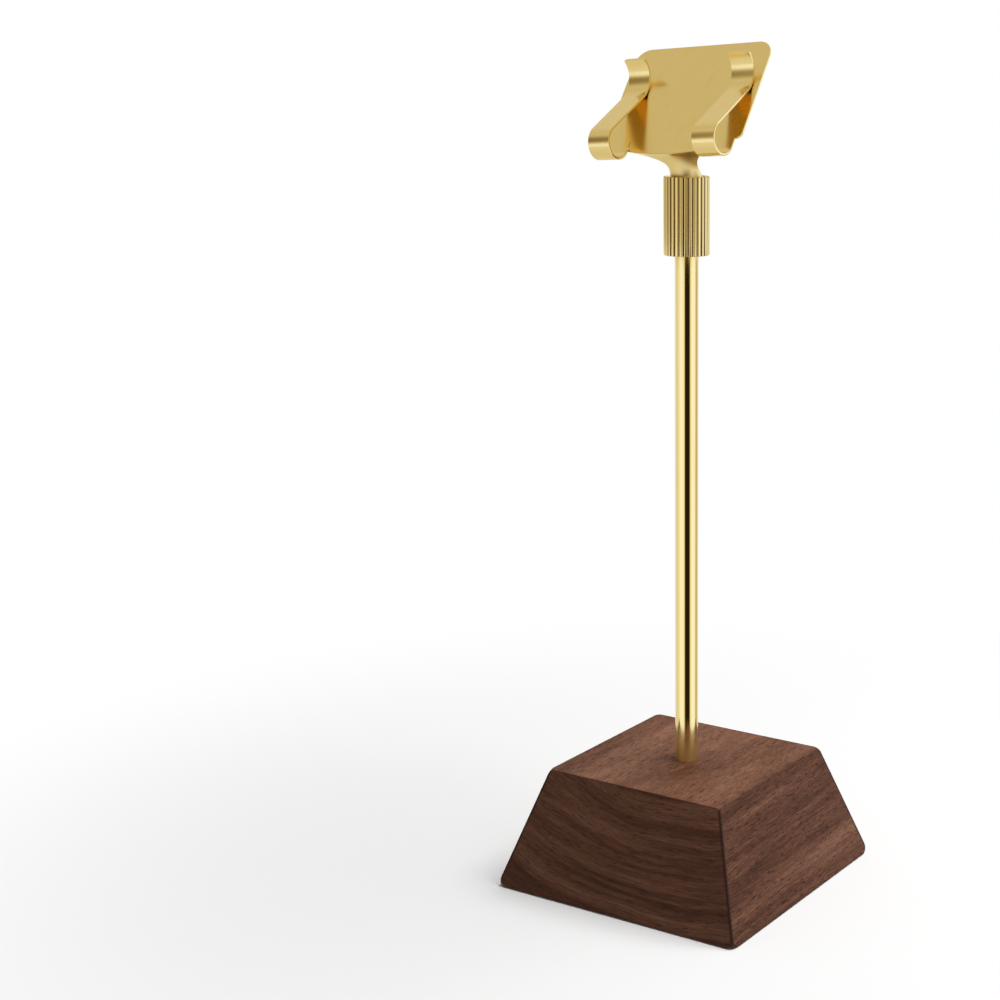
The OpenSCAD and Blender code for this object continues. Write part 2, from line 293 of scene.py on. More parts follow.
start_clean()
bpy.ops.mesh.primitive_cube_add(
    size=1, location=(0, 0, PAD_THICK / 2), scale=(PAD_SIDE, PAD_SIDE, PAD_THICK)
)
pad = take("felt_pad")
pick(pad, "EDGE", lambda at, e: abs(at.z - PAD_THICK / 2) < NEAR)
bpy.ops.mesh.bevel(offset=PAD_CORNER, segments=6)
pick(pad, "EDGE", lambda at, e: e.calc_face_angle(0) > 1)
bpy.ops.mesh.bevel(offset=PAD_RIM, segments=4)
close(pad)
smooth(pad, 40)
report(pad)
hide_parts("base_pad")
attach(pad, "stand")

# %% [markdown]
# ## The post
# The post is bright drawn rod. Light shows every flat on a polished cylinder, so it has
# many sides and smooth shading. Its ends are faced and broken on a lathe, and both have
# a tapped hole, which is an inset and an extrusion inwards.

# %% Post
POST_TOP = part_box("post")[1].z
POST_EDGE = 0.35 * MM
# each tapped end: its height, the way in, the tap's radius and its depth
TAPPED_ENDS = ((POST_TOP, -1, 1.3 * MM, 6.2 * MM), (POST_FOOT, 1, 1.55 * MM, 10 * MM))

start_clean()
bpy.ops.mesh.primitive_cylinder_add(
    vertices=160,
    radius=POST_R,
    depth=POST_TOP - POST_FOOT,
    location=(0, 0, (POST_TOP + POST_FOOT) / 2),
)
post = take("gold_post")
pick(post, "EDGE", lambda at, e: e.calc_face_angle(0) > 1)
bpy.ops.mesh.bevel(offset=POST_EDGE, segments=4)
for end, inward, tap_r, deep in TAPPED_ENDS:
    pick(post, "FACE", lambda at, f: abs(at.z - end) < NEAR and len(f.verts) > 8)
    bpy.ops.mesh.inset(thickness=POST_R - POST_EDGE - tap_r, depth=0)
    bpy.ops.mesh.extrude_region_move(TRANSFORM_OT_translate={"value": (0, 0, inward * deep)})
close(post)
smooth(post, 30)
report(post)
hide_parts("post")
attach(post, "stand")

# %% [markdown]
# ## The knurled sleeve
# A straight knurl is rolled into the sleeve, which leaves thirty broad ridges with narrow
# grooves. A ring of vertices is pulled in at the grooves and then raised into a wall.
# The inside is turned, so it stays round: circles go down the bore step by step, and
# bridging joins them to the wall at the rim and at the foot.

# %% Sleeve: fluted wall
SLEEVE_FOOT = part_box("lock_sleeve")[0].z
SLEEVE_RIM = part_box("lock_sleeve")[1].z
SLEEVE_R = 4.8 * MM
KNURL_DEPTH = 0.24 * MM
KNURL_COUNT = 30
STEPS_PER_RIDGE = 12
# how deep the outline lies at each step from the middle of a ridge to the next
GROOVE_SHARES = (0, 0, 0.01, 0.05, 0.30, 0.80, 1, 0.80, 0.30, 0.05, 0.01, 0)

start_clean()
around = KNURL_COUNT * STEPS_PER_RIDGE
bpy.ops.mesh.primitive_circle_add(
    vertices=around, radius=SLEEVE_R, fill_type="NOTHING", location=(0, 0, SLEEVE_FOOT)
)
sleeve = take("knurled_sleeve")


def step_of(at):
    """Which step of its ridge a point on the ring is."""
    turn = math.atan2(at.y, at.x) / (2 * math.pi) * around
    return round(turn) % STEPS_PER_RIDGE


for depth_share in sorted(set(GROOVE_SHARES) - {0}):
    steps = [i for i, share in enumerate(GROOVE_SHARES) if share == depth_share]
    pick(sleeve, "VERT", lambda at, v: step_of(at) in steps)
    shrink = 1 - KNURL_DEPTH * depth_share / SLEEVE_R
    bpy.ops.transform.resize(value=(shrink, shrink, 1), center_override=(0, 0, SLEEVE_FOOT))

# the two ends draw in a hair, where a file has broken them
END_EASE = 0.12 * MM
ease_in = 1 - END_EASE / SLEEVE_R
pick(sleeve, "VERT", lambda at, v: True)
for rise in (END_EASE, SLEEVE_RIM - SLEEVE_FOOT - 2 * END_EASE, END_EASE):
    bpy.ops.mesh.extrude_region_move(TRANSFORM_OT_translate={"value": (0, 0, rise)})
bpy.ops.transform.resize(value=(ease_in, ease_in, 1), center_override=(0, 0, SLEEVE_RIM))
pick(sleeve, "VERT", lambda at, v: at.z < SLEEVE_FOOT + NEAR)
bpy.ops.transform.resize(value=(ease_in, ease_in, 1), center_override=(0, 0, SLEEVE_FOOT))
print("fluted wall:", KNURL_COUNT, "ridges,", around, "points round it")

# %% Sleeve: turned bore
MOUTH_R = 4.2 * MM
CHAMBER_R = 3.75 * MM
COLLAR_BORE_R = 3.45 * MM
SLIDE_BORE_R = 2.55 * MM
RING_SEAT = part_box("pressure_ring")[0].z - 0.02 * MM
SLEEVE_FLOOR = SLEEVE_FOOT + 1.8 * MM

# each stop of the lathe: the height that it goes down to and the radius there
stops = (
    (SLEEVE_RIM - 2 * MM, CHAMBER_R),
    (RING_SEAT, CHAMBER_R),
    (RING_SEAT, COLLAR_BORE_R),
    (SLEEVE_FLOOR, COLLAR_BORE_R),
    (SLEEVE_FLOOR, SLIDE_BORE_R),
    (SLEEVE_FOOT, SLIDE_BORE_R),
)
bpy.ops.mesh.select_all(action="DESELECT")
bpy.ops.mesh.primitive_circle_add(
    vertices=around, radius=MOUTH_R, fill_type="NOTHING", location=(0, 0, SLEEVE_RIM)
)
height, radius = SLEEVE_RIM, MOUTH_R
for next_height, next_radius in stops:
    bpy.ops.mesh.extrude_region_move(TRANSFORM_OT_translate={"value": (0, 0, next_height - height)})
    change = next_radius / radius
    bpy.ops.transform.resize(value=(change, change, 1), center_override=(0, 0, next_height))
    height, radius = next_height, next_radius
for level in (SLEEVE_RIM, SLEEVE_FOOT):
    pick(sleeve, "EDGE", lambda at, e: e.is_boundary and abs(at.z - level) < NEAR)
    bpy.ops.mesh.bridge_edge_loops()
close(sleeve)
smooth(sleeve, 40)
report(sleeve)
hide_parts("lock_sleeve")
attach(sleeve, "sleeve")

# %% [markdown]
# ## The clip
# The clip is pressed from half-millimetre sheet. It is built standing upright, where its
# bends are easy to place, and is tipped into its pose at the end with one matrix. First
# come that matrix and the sizes that the plate and its two arms share.

# %% Clip: sizes and pose
SHEET = 0.5 * MM
PLATE_W = 34.8 * MM
PLATE_H = 25.4 * MM
PLATE_CORNER = 3.6 * MM
LOWER_CORNER = 1.4 * MM
SHEET_EDGE = 0.09 * MM
# between the neck and each arm the sheet is slit
SLIT = 0.1 * MM
SHOULDER = 2 * MM
ARM_W = 5.4 * MM
ARM_OUTER = PLATE_W / 2 - 1.5 * MM
ARM_INNER = ARM_OUTER - ARM_W
NECK_HALF_W = ARM_INNER - SLIT
PLATE_LEAN = math.radians(35.5)
PLATE_FORWARD = 5.8 * MM
PLATE_RISE = 6.5 * MM
HEAD_PAN = math.radians(4)
HEAD_ROLL = math.radians(3.4)

joint_place = {joint["name"]: joint.get("pos_m") for joint in frame["joints"]}
ball_centre = Vector(joint_place["clip_tilt"])
head_pose = (
    Matrix.Translation(ball_centre)
    @ Matrix.Rotation(-HEAD_PAN, 4, "Z")
    @ Matrix.Rotation(-HEAD_ROLL, 4, "Y")
)
plate_in_head = (
    Matrix.Translation((0, -PLATE_FORWARD, PLATE_RISE)) @ Matrix.Rotation(-PLATE_LEAN, 4, "X")
)
plate_pose = head_pose @ plate_in_head
print("plate's lower edge at", [round(v / MM, 2) for v in plate_pose.translation], "mm")

# %% [markdown]
# ## Plate, neck and roll
# Below the plate the sheet narrows, curls back into a trumpet-shaped neck and is rolled
# round the ball. That curve bends both ways at once, and no operator draws it, so the
# neck starts as a flat grid whose points are laid on a curved surface: from the roll,
# past the waist, up to the plate's lower edge. The plate and the roll are then extruded
# from the neck's two ends, which keeps the sheet in one piece as on the real clip.

# %% Neck: a grid laid on its curve
ROLL_HALF_ANGLE = math.radians(140)
WAIST_HALF_ANGLE = math.radians(50)
SOCKET_R = 3.05 * MM
WAIST_R = 3.6 * MM
WAIST_RISE = 4.7 * MM
NECK_DIP = 0.9 * MM
NECK_START = 0.75 * MM
ACROSS = 64
UPWARDS = 28


def on_circle(radius, angle, rise):
    """A point on a level circle round the ball, the angle counted from the front."""
    return Vector((radius * math.sin(angle), -radius * math.cos(angle), rise))


def neck_point(share, up):
    """share runs across from -1 to 1, up runs from the roll to the plate."""
    dip = -NECK_DIP * (1 - share * share)
    foot = on_circle(SOCKET_R, share * ROLL_HALF_ANGLE, NECK_START)
    waist = on_circle(WAIST_R, share * WAIST_HALF_ANGLE, WAIST_RISE)
    top = plate_in_head @ Vector((share * NECK_HALF_W, 0, dip))
    return (1 - up) ** 2 * foot + 2 * up * (1 - up) * waist + up * up * top


start_clean()
bpy.ops.mesh.primitive_grid_add(x_subdivisions=ACROSS, y_subdivisions=UPWARDS, size=2)
clip = take("clip_sheet")
upright = plate_in_head.inverted()
mesh = bmesh.from_edit_mesh(clip.data)
for vertex in mesh.verts:
    vertex.co = upright @ neck_point(vertex.co.x, (vertex.co.y + 1) / 2)
bmesh.update_edit_mesh(clip.data)
print("neck:", len(mesh.verts), "points, waist", round(WAIST_R / MM, 1), "mm")

# %% Plate: extruded up from the neck
ON_SHEET = 0.02 * MM
FIRST_ROW = 0.7 * MM


def upper_row(at, item):
    """The neck's free upper edge, which sags in the middle."""
    return item.is_boundary and abs(at.y) < ON_SHEET and at.z > -NECK_DIP - ON_SHEET


pick(clip, "EDGE", upper_row)
bpy.ops.mesh.extrude_region_move(TRANSFORM_OT_translate={"value": (0, 0, FIRST_ROW)})
bpy.ops.mesh.extrude_region_move(
    TRANSFORM_OT_translate={"value": (0, 0, SHOULDER - FIRST_ROW)}
)
bpy.ops.transform.resize(value=(1, 1, 0), center_override=(0, 0, SHOULDER))
bpy.ops.mesh.extrude_region_move(
    TRANSFORM_OT_translate={"value": (0, 0, PLATE_H - SHOULDER)}
)


def beside_plate(at, edge, rim_x):
    """The free upright edge above the shoulder that still stands at the neck's width."""
    above = at.z > SHOULDER + ON_SHEET
    return edge.is_boundary and above and abs(at.x - rim_x) < ON_SHEET


for side in (-1, 1):
    rim_x = side * NECK_HALF_W
    pick(clip, "EDGE", lambda at, e: beside_plate(at, e, rim_x))
    width = side * (PLATE_W / 2) - rim_x
    bpy.ops.mesh.extrude_region_move(TRANSFORM_OT_translate={"value": (width, 0, 0)})
pick(clip, "VERT", lambda at, v: abs(at.x) > PLATE_W / 2 - ON_SHEET and at.z > PLATE_H - ON_SHEET)
bpy.ops.mesh.bevel(offset=PLATE_CORNER, segments=14, affect="VERTICES")
pick(clip, "VERT", lambda at, v: abs(at.x) > PLATE_W / 2 - ON_SHEET and at.z < SHOULDER + ON_SHEET)
bpy.ops.mesh.bevel(offset=LOWER_CORNER, segments=8, affect="VERTICES")
for line in (-ARM_OUTER, -ARM_INNER, ARM_INNER, ARM_OUTER):
    pick(clip, "FACE", lambda at, f: at.z > SHOULDER)
    bpy.ops.mesh.bisect(plane_co=(line, 0, 0), plane_no=(1, 0, 0))
print("plate faces:", pick(clip, "FACE", lambda at, f: at.z > SHOULDER))

# %% Roll: extruded down round the ball, one ring at a time
# angles below the ball's equator that the rings of the roll lie on
ROLL_RINGS = (0, 10, 20, 30, 40)
down_axis = (upright.to_3x3() @ Vector((0, 0, -1))).normalized()


def lowest_row(at, item):
    """The free lower edge, told by its height in the head's own frame."""
    return item.is_boundary and abs((plate_in_head @ at).z - NECK_START) < ON_SHEET


pick(clip, "EDGE", lowest_row)
ring_radius, ring_drop = SOCKET_R, -NECK_START
for angle in ROLL_RINGS:
    drop = SOCKET_R * math.sin(math.radians(angle))
    radius = SOCKET_R * math.cos(math.radians(angle))
    step = down_axis * (drop - ring_drop)
    bpy.ops.mesh.extrude_region_move(TRANSFORM_OT_translate={"value": step})
    mesh = bmesh.from_edit_mesh(clip.data)
    for vertex in mesh.verts:
        if vertex.select:
            local = plate_in_head @ vertex.co
            local.x *= radius / ring_radius
            local.y *= radius / ring_radius
            vertex.co = upright @ local
    bmesh.update_edit_mesh(clip.data)
    ring_radius, ring_drop = radius, drop
close(clip, outward=False)
print("the roll ends", round(ring_radius / MM, 2), "mm from its axis")

# %% [markdown]
# The sheet is equally thick everywhere, so Solidify gives the drawn surface its
# thickness, half to each side. Its cut edges have been polished and catch a thin line of
# light, which is what the fine bevel is for. The line where an arm leaves the plate is
# no edge on the real clip, so it isn't bevelled.

# %% Clip sheet: thickness and broken edges
apply_modifier(clip, "SOLIDIFY", thickness=SHEET, offset=0, use_even_offset=True)
bpy.ops.object.mode_set(mode="EDIT")


def sheet_rim(at, edge):
    """Edges where the sheet's face meets its cut side, away from where an arm leaves it."""
    in_arm_width = ARM_INNER - ON_SHEET < abs(at.x) < ARM_OUTER + ON_SHEET
    under_arm = in_arm_width and abs(at.z - SHOULDER) < ON_SHEET
    return edge.calc_face_angle(0) > math.radians(60) and not under_arm


pick(clip, "EDGE", sheet_rim)
bpy.ops.mesh.bevel(offset=SHEET_EDGE, segments=2)
close(clip)
clip.data.transform(plate_pose)
smooth(clip, 50)
report(clip)
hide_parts("clip_plate")
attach(clip, "head")

# %% [markdown]
# ## The spring arms
# Each arm leaves the plate's lower edge, goes round a loop, runs back up until it all but
# touches the plate and turns its lip forward to let a card in. That is two arcs and a
# straight run between them, so the strip is drawn with the spin operator as a bending
# machine would make it. The straight run has to touch both arcs, and two triangles give
# its slope.

# %% Arms: where the bends lie
LOOP_R = 3.35 * MM
GRIP_R = 4.9 * MM
GRIP_H = 14.7 * MM
GRIP_GAP = 0.15 * MM
LIP_TURN = math.radians(83)
LIP_CORNER = 1.0 * MM

grip_ahead = GRIP_R + SHEET + GRIP_GAP
reach = math.hypot(grip_ahead - LOOP_R, GRIP_H)
run_lean = math.asin((GRIP_R + LOOP_R) / reach) - math.atan2(grip_ahead - LOOP_R, GRIP_H)
run_length = math.sqrt(reach**2 - (GRIP_R + LOOP_R) ** 2)
lip_end_y = GRIP_R * math.cos(LIP_TURN) - grip_ahead
lip_end_z = GRIP_R * math.sin(LIP_TURN) + GRIP_H
print("straight run:", round(run_length / MM, 2), "mm")
print("its lean:", round(math.degrees(run_lean), 1), "degrees")

# %% Arms: strip, spin, run, spin


def spin(steps, angle, centre):
    """Sweeps the selected end of the strip round an axis along X."""
    bpy.ops.mesh.spin(steps=steps, angle=angle, center=centre, axis=(1, 0, 0))


def bent_arm(name, side):
    """One arm, drawn as a strip from the shoulder to the lip."""
    start_clean()
    middle = side * (ARM_INNER + ARM_OUTER) / 2
    bpy.ops.mesh.primitive_plane_add(
        size=1, location=(middle, 0, SHOULDER / 2), rotation=(math.pi / 2, 0, 0)
    )
    bpy.context.object.scale = (ARM_W, SHOULDER, 1)
    arm = take(name)
    pick(arm, "EDGE", lambda at, e: at.z < NEAR)
    spin(40, math.pi + run_lean, (0, -LOOP_R, 0))
    straight = (0, run_length * math.sin(run_lean), run_length * math.cos(run_lean))
    bpy.ops.mesh.extrude_region_move(TRANSFORM_OT_translate={"value": straight})
    spin(32, -(run_lean + LIP_TURN), (0, -grip_ahead, GRIP_H))
    close(arm, outward=False)
    return arm


# %% [markdown]
# The strip gets its thickness in the same way. Its lip has two rounded corners, which
# don't scratch a card, and they are found by where the strip ends. Both arms are drawn
# upright, as the plate was, and the plate's own matrix puts them in their place.

# %% Arms: thickness, rounded lip and place


def lip_corner(at, edge):
    """The short edges through the sheet at the lip's two corners."""
    from_side = min(abs(abs(at.x) - ARM_OUTER), abs(abs(at.x) - ARM_INNER))
    from_end = math.hypot(at.y - lip_end_y, at.z - lip_end_z)
    return from_side < ON_SHEET and from_end < NEAR


def arm_rim(at, edge):
    """Edges where a face meets a cut side, away from where the arm leaves the plate."""
    return edge.calc_face_angle(0) > math.radians(50) and abs(at.z - SHOULDER) > ON_SHEET


def dress_arm(arm):
    """Gives the strip its thickness, rounds its lip and puts it in its place."""
    apply_modifier(arm, "SOLIDIFY", thickness=SHEET, offset=0, use_even_offset=True)
    bpy.ops.object.mode_set(mode="EDIT")
    corners = pick(arm, "EDGE", lip_corner)
    bpy.ops.mesh.bevel(offset=LIP_CORNER, segments=6)
    pick(arm, "EDGE", arm_rim)
    bpy.ops.mesh.bevel(offset=SHEET_EDGE, segments=2)
    close(arm)
    arm.data.transform(plate_pose)
    smooth(arm, 40)
    report(arm)
    print(arm.name, "lip corners found:", corners)


ARMS = ((-1, "arm_left", "left_arm", "left_jaw"), (1, "arm_right", "right_arm", "right_jaw"))
arms = []
for side, name, node, body in ARMS:
    arm = bent_arm(name, side)
    dress_arm(arm)
    arms.append(arm)
    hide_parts(node)
    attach(arm, body)

# %% [markdown]
# ## Shader arithmetic
# A material is mostly sums: noise times a share, plus another noise, through a ramp.
# Written as nodes these are long to read, so one small class wraps a socket and lets
# Python's own operators add the Math nodes.

# %% Wires: sums of sockets


class Wire:
    """One output of a node, which can be used in sums."""

    def __init__(self, recipe, socket):
        self.recipe, self.socket = recipe, socket

    def sum(self, operation, *values):
        """Any Math node, with its values in order."""
        return self.recipe.node("ShaderNodeMath", {"operation": operation}, dict(enumerate(values)))

    def __add__(self, other):
        return self.sum("ADD", self, other)

    def __mul__(self, other):
        return self.sum("MULTIPLY", self, other)

    def __sub__(self, other):
        return self.sum("SUBTRACT", self, other)

    def __rsub__(self, other):
        return self.sum("SUBTRACT", other, self)

    def __truediv__(self, other):
        return self.sum("DIVIDE", self, other)

    def __pow__(self, other):
        return self.sum("POWER", self, other)

    def absolute(self):
        return self.sum("ABSOLUTE", self)

    __radd__ = __add__
    __rmul__ = __mul__


# %% Recipes: a node tree, written node by node


class Recipe:
    """A node tree that is being written."""

    def __init__(self, tree):
        self.tree = tree
        self.tree.nodes.clear()

    def node(self, kind, settings=None, inputs=None, out=0):
        """Adds any node: its settings first, then its values and links."""
        made = self.tree.nodes.new(kind)
        for key, value in (settings or {}).items():
            if key == "stops":
                ramp = made.color_ramp
                while len(ramp.elements) < len(value):
                    ramp.elements.new(0.5)
                for element, (place, colour) in zip(ramp.elements, value):
                    element.position, element.color = place, (*colour, 1)
            else:
                setattr(made, key, value)
        for key, value in (inputs or {}).items():
            if isinstance(value, Wire):
                self.tree.links.new(value.socket, made.inputs[key])
            else:
                made.inputs[key].default_value = value
        return Wire(self, made.outputs[out]) if len(made.outputs) else None

    def smooth_step(self, value, low, high):
        """0 below low, 1 above high and a soft change between."""
        return self.node(
            "ShaderNodeMapRange",
            {"interpolation_type": "SMOOTHSTEP"},
            {"Value": value, "From Min": low, "From Max": high},
        )

    def noise(self, vector, scale, detail=2.0, roughness=0.5, distortion=0.0):
        """Soft random values round a half."""
        return self.node(
            "ShaderNodeTexNoise",
            {},
            {
                "Vector": vector,
                "Scale": scale,
                "Detail": detail,
                "Roughness": roughness,
                "Distortion": distortion,
            },
        )

    def ramp(self, value, stops):
        """Looks a value up in a row of colours."""
        return self.node("ShaderNodeValToRGB", {"stops": stops}, {"Fac": value})

    def blend(self, share, first, second):
        """Mixes two colours."""
        made = self.tree.nodes.new("ShaderNodeMix")
        made.data_type = "RGBA"
        colour_sockets = [s for s in made.inputs if s.type == "RGBA"]
        for socket, value in zip((made.inputs[0], *colour_sockets), (share, first, second)):
            if isinstance(value, Wire):
                self.tree.links.new(value.socket, socket)
            else:
                socket.default_value = value if isinstance(value, float) else (*value, 1)
        return Wire(self, next(s for s in made.outputs if s.type == "RGBA"))

    def millimetres(self):
        """The piece's own coordinates in millimetres, and their three parts."""
        place = self.node("ShaderNodeTexCoord", out=3)
        scaled = self.node(
            "ShaderNodeVectorMath", {"operation": "SCALE"}, {"Vector": place, "Scale": 1 / MM}
        )
        parts = self.tree.nodes.new("ShaderNodeSeparateXYZ")
        self.tree.links.new(scaled.socket, parts.inputs[0])
        return scaled, [Wire(self, socket) for socket in parts.outputs]

    def join(self, x, y, z):
        """Makes a vector of three values."""
        return self.node("ShaderNodeCombineXYZ", {}, {0: x, 1: y, 2: z})

    def share_along(self, vector, axis):
        """How far a direction points along an axis, from -1 to 1."""
        return self.node(
            "ShaderNodeVectorMath", {"operation": "DOT_PRODUCT"}, {0: vector, 1: axis}, out=1
        )

    def angle(self, upwards, sideways):
        """The angle in radians, in all four quarters, of a point on a plane."""
        return self.node("ShaderNodeMath", {"operation": "ARCTAN2"}, {0: upwards, 1: sideways})

    def stretch(self, vector, x, y, z):
        """Scales a vector by its own number along each axis."""
        return self.node("ShaderNodeVectorMath", {"operation": "MULTIPLY"}, {0: vector, 1: (x, y, z)})

    def bump(self, height, strength, distance):
        """Tips the normal as this relief would."""
        return self.node(
            "ShaderNodeBump", {}, {"Height": height, "Strength": strength, "Distance": distance}
        )

    def surface(self, **inputs):
        """The Principled shader and the output that end a material."""
        named = {key.replace("_", " "): value for key, value in inputs.items()}
        shader = self.node("ShaderNodeBsdfPrincipled", {}, named)
        self.node("ShaderNodeOutputMaterial", {}, {"Surface": shader})


# %% Materials: made and given to pieces


def new_material(name):
    """An empty material and the recipe that fills it."""
    material = bpy.data.materials.new(name)
    material.use_nodes = True
    return material, Recipe(material.node_tree)


def paint(material, *pieces):
    """Gives each piece this one material."""
    for piece in pieces:
        piece.data.materials.clear()
        piece.data.materials.append(material)
    print(material.name, "on", [piece.name for piece in pieces])


# %% [markdown]
# ## Oiled walnut
# Growth rings are tubes round the tree's heart. The block is cut with that heart high
# above it, along Y, so the rings run straight over the top and the right face and hang
# in shallow arcs across the front. The colour comes from the distance to the heart.
# Fibres and pores are thin noise, stretched along the grain: along Y on the long faces,
# and along the arcs on the two faces that cut across it.

# %% Walnut: where each point lies in the tree
walnut, wood = new_material("oiled_walnut")
place, (x, y, z) = wood.millimetres()
HEART_X, HEART_Z = 10.0, 92.0

drift = wood.noise(wood.stretch(place, 0.03, 0.008, 0.03), 1.0, 2.0, 0.5)
across, above = x - HEART_X, z - HEART_Z
ring_place = (across * across + above * above) ** 0.5 + drift * 6.0 + y * 0.03
heart_angle = wood.angle(above, across) * 80.0

facing_y = wood.share_along(wood.node("ShaderNodeTexCoord", out=1), (0, 1, 0))
cut_across = wood.smooth_step(facing_y.absolute(), 0.55, 0.75)
along = y + cut_across * (heart_angle - y)
beside = heart_angle + cut_across * (y - heart_angle)
grain = wood.join(ring_place, along, beside)
print("the tree's heart lies at x", HEART_X, "and z", HEART_Z, "mm")

# %% Walnut: rings, fibres and pores
wide_rings = wood.noise(wood.stretch(grain, 0.17, 0.008, 0.03), 1.0, 3.0, 0.55)
fine_rings = wood.noise(wood.stretch(grain, 0.85, 0.03, 0.12), 1.0, 3.0, 0.6)
fibres = wood.noise(wood.stretch(grain, 3.0, 0.16, 1.9), 1.0, 4.0, 0.68)
hair = wood.noise(wood.stretch(grain, 8.0, 0.55, 6.0), 1.0, 3.0, 0.7)
pore_noise = wood.noise(wood.stretch(grain, 4.6, 0.40, 4.2), 1.0, 2.0, 0.6)
pores = wood.smooth_step(pore_noise, 0.56, 0.67)
# where the saw cut across the fibres the hair shows less; on those faces a painted shade also darkens
# the wood a little towards the foot
hair_tone = (hair - 0.5) * (0.50 - cut_across * 0.42)
painted_foot_shade = cut_across * (z * 0.0016 - 0.036)
tone = wide_rings * 0.48 + fine_rings * 0.38 + fibres * 0.32 + hair_tone + painted_foot_shade - 0.08
print("nodes in the wood so far:", len(walnut.node_tree.nodes))

# %% [markdown]
# Oil gathers on the sharp edges and darkens them, mostly where the rings are soft. Every
# edge of the frustum is where two distances run out together: to the two sides that meet
# there, or to a side and to the top or the foot. Their sum is zero on the edge alone.

# %% Walnut: dark edges
foot_z, top_z, half_foot = BLOCK_FOOT / MM, BLOCK_TOP / MM, BLOCK_SIDE / MM / 2
side_slope = (BLOCK_SIDE - BLOCK_TOP_SIDE) / 2 / (BLOCK_TOP - BLOCK_FOOT)
from_x, from_y = x.absolute(), y.absolute()
half_side = half_foot - (z - foot_z) * side_slope
to_side = half_side - from_x.sum("MAXIMUM", from_x, from_y)
to_upright_edge = half_side * 2.0 - from_x - from_y
to_rim = z.sum("MINIMUM", top_z - z, z - foot_z) + to_side
upright_line = (1.0 - wood.smooth_step(to_upright_edge, 0.2, 0.8)) * (0.5 + fine_rings * 0.6)
rim_line = (1.0 - wood.smooth_step(to_rim, 0.1, 0.45)) * (fine_rings + hair - 0.75)
dark_edge = upright_line.sum("MAXIMUM", upright_line, rim_line)
print("the block's sides lean in by", round(side_slope, 3), "of their height")

# %% [markdown]
# A ramp turns the tone into the colours of heartwood, from near black to red-brown. The
# pores and the edges are mixed in over it, each with a dark colour of its own. Oiled wood
# is nearly matt, so its roughness is high and rises in the pores, and a little relief
# breaks up the lamp's shine.

# %% Walnut: colour, sheen and relief
heartwood = wood.ramp(
    tone,
    [
        (0.34, (0.058, 0.020, 0.010)),
        (0.45, (0.112, 0.043, 0.023)),
        (0.54, (0.180, 0.077, 0.044)),
        (0.66, (0.275, 0.130, 0.080)),
    ],
)
pored = wood.blend(pores * (0.85 - cut_across * 0.25), heartwood, (0.034, 0.012, 0.007))
oiled = wood.blend(dark_edge, pored, (0.026, 0.010, 0.006))
sheen = 0.52 + fibres * 0.16 + pores * 0.2
relief = fibres * 0.25 + hair * 0.25 - pores * 0.8
wood.surface(
    Base_Color=oiled,
    Roughness=sheen,
    Normal=wood.bump(relief, 0.35, 0.00012),
    Specular_IOR_Level=0.16,
)
paint(walnut, block)

# %% [markdown]
# ## Gold
# All the bright metal is plated brass, but each piece was worked in its own way, and the
# light shows it. The rod is drawn, which leaves faint lines along it. The sleeve is
# knurled, and polish doesn't reach its grooves, so they are rougher; they are also
# painted dark, as painted shade. The clip is pressed from mirror sheet, which waves a
# little after bending. So one helper makes the plating, and each piece adds its own marks.

# %% Gold: one plating for all
GOLD = (0.905, 0.70, 0.295)
GOLD_DEEP = (0.815, 0.57, 0.185)


def gold_material(name, marks, deepen_and_shade, roughness, strength, distance, dull=None, deep=GOLD_DEEP):
    """marks is the relief, which strength and distance scale; deepen_and_shade is 1 where the
    plating is deeper in colour, and on the sleeve where painted shade darkens the grooves;
    dull is what the wheel left unpolished, added to roughness."""
    material, gold = new_material(name)
    place, parts = gold.millimetres()
    relief, depth = marks(gold, place, parts), deepen_and_shade(gold, place, parts)
    unpolished = dull(gold, place, parts) if dull else 0.0
    cloud = gold.noise(gold.stretch(place, 0.11, 0.11, 0.11), 1.0, 2.0)
    gold.surface(
        # on the sleeve the darker colour is painted shade in its grooves; on the rod and sheet it is
        # the plating's own deeper tone
        Base_Color=gold.blend(depth, GOLD, deep),
        Metallic=1.0,
        Roughness=roughness + cloud * 0.04 + depth * 0.12 + unpolished,
        Normal=gold.bump(relief, strength, distance),
    )
    return material


# %% Gold: the drawn rod


def drawn_lines(gold, place, parts):
    """Fine lines along the rod, from the die that it was drawn through."""
    return gold.noise(gold.stretch(place, 5.0, 5.0, 0.05), 1.0, 3.0, 0.6)


def faint_cloud(gold, place, parts):
    """Long patches where the plating is a little deeper in colour."""
    patches = gold.noise(gold.stretch(place, 0.5, 0.5, 0.06), 1.0, 3.0)
    return gold.smooth_step(patches, 0.5, 0.8) * 0.2


def waxed_foot(gold, place, parts):
    """A film of wood oil, which fades out over twelve millimetres above the block."""
    return (1.0 - gold.smooth_step(parts[2], 26.0, 38.0)) * 0.36


rod_gold = gold_material(
    "drawn_gold_rod",
    marks=drawn_lines,
    deepen_and_shade=faint_cloud,
    roughness=0.025,
    strength=0.10,
    distance=0.00002,
    dull=waxed_foot,
)
paint(rod_gold, post)

# %% Gold: the knurled sleeve


def knurl_marks(gold, place, parts):
    """Scratches along the ridges, from the knurling wheel."""
    return gold.noise(gold.stretch(place, 3.0, 3.0, 0.02), 1.0, 2.0, 0.5)


def groove_shade_mask(gold, place, parts):
    """1 in the grooves of the wall and 0 on its ridges and in the bore; in the grooves it paints
    shade.
    """
    x, y, z = parts
    from_axis = (x * x + y * y) ** 0.5
    on_the_wall = gold.smooth_step(from_axis, 4.48, 4.55)
    return on_the_wall * (1.0 - gold.smooth_step(from_axis, 4.62, 4.77))


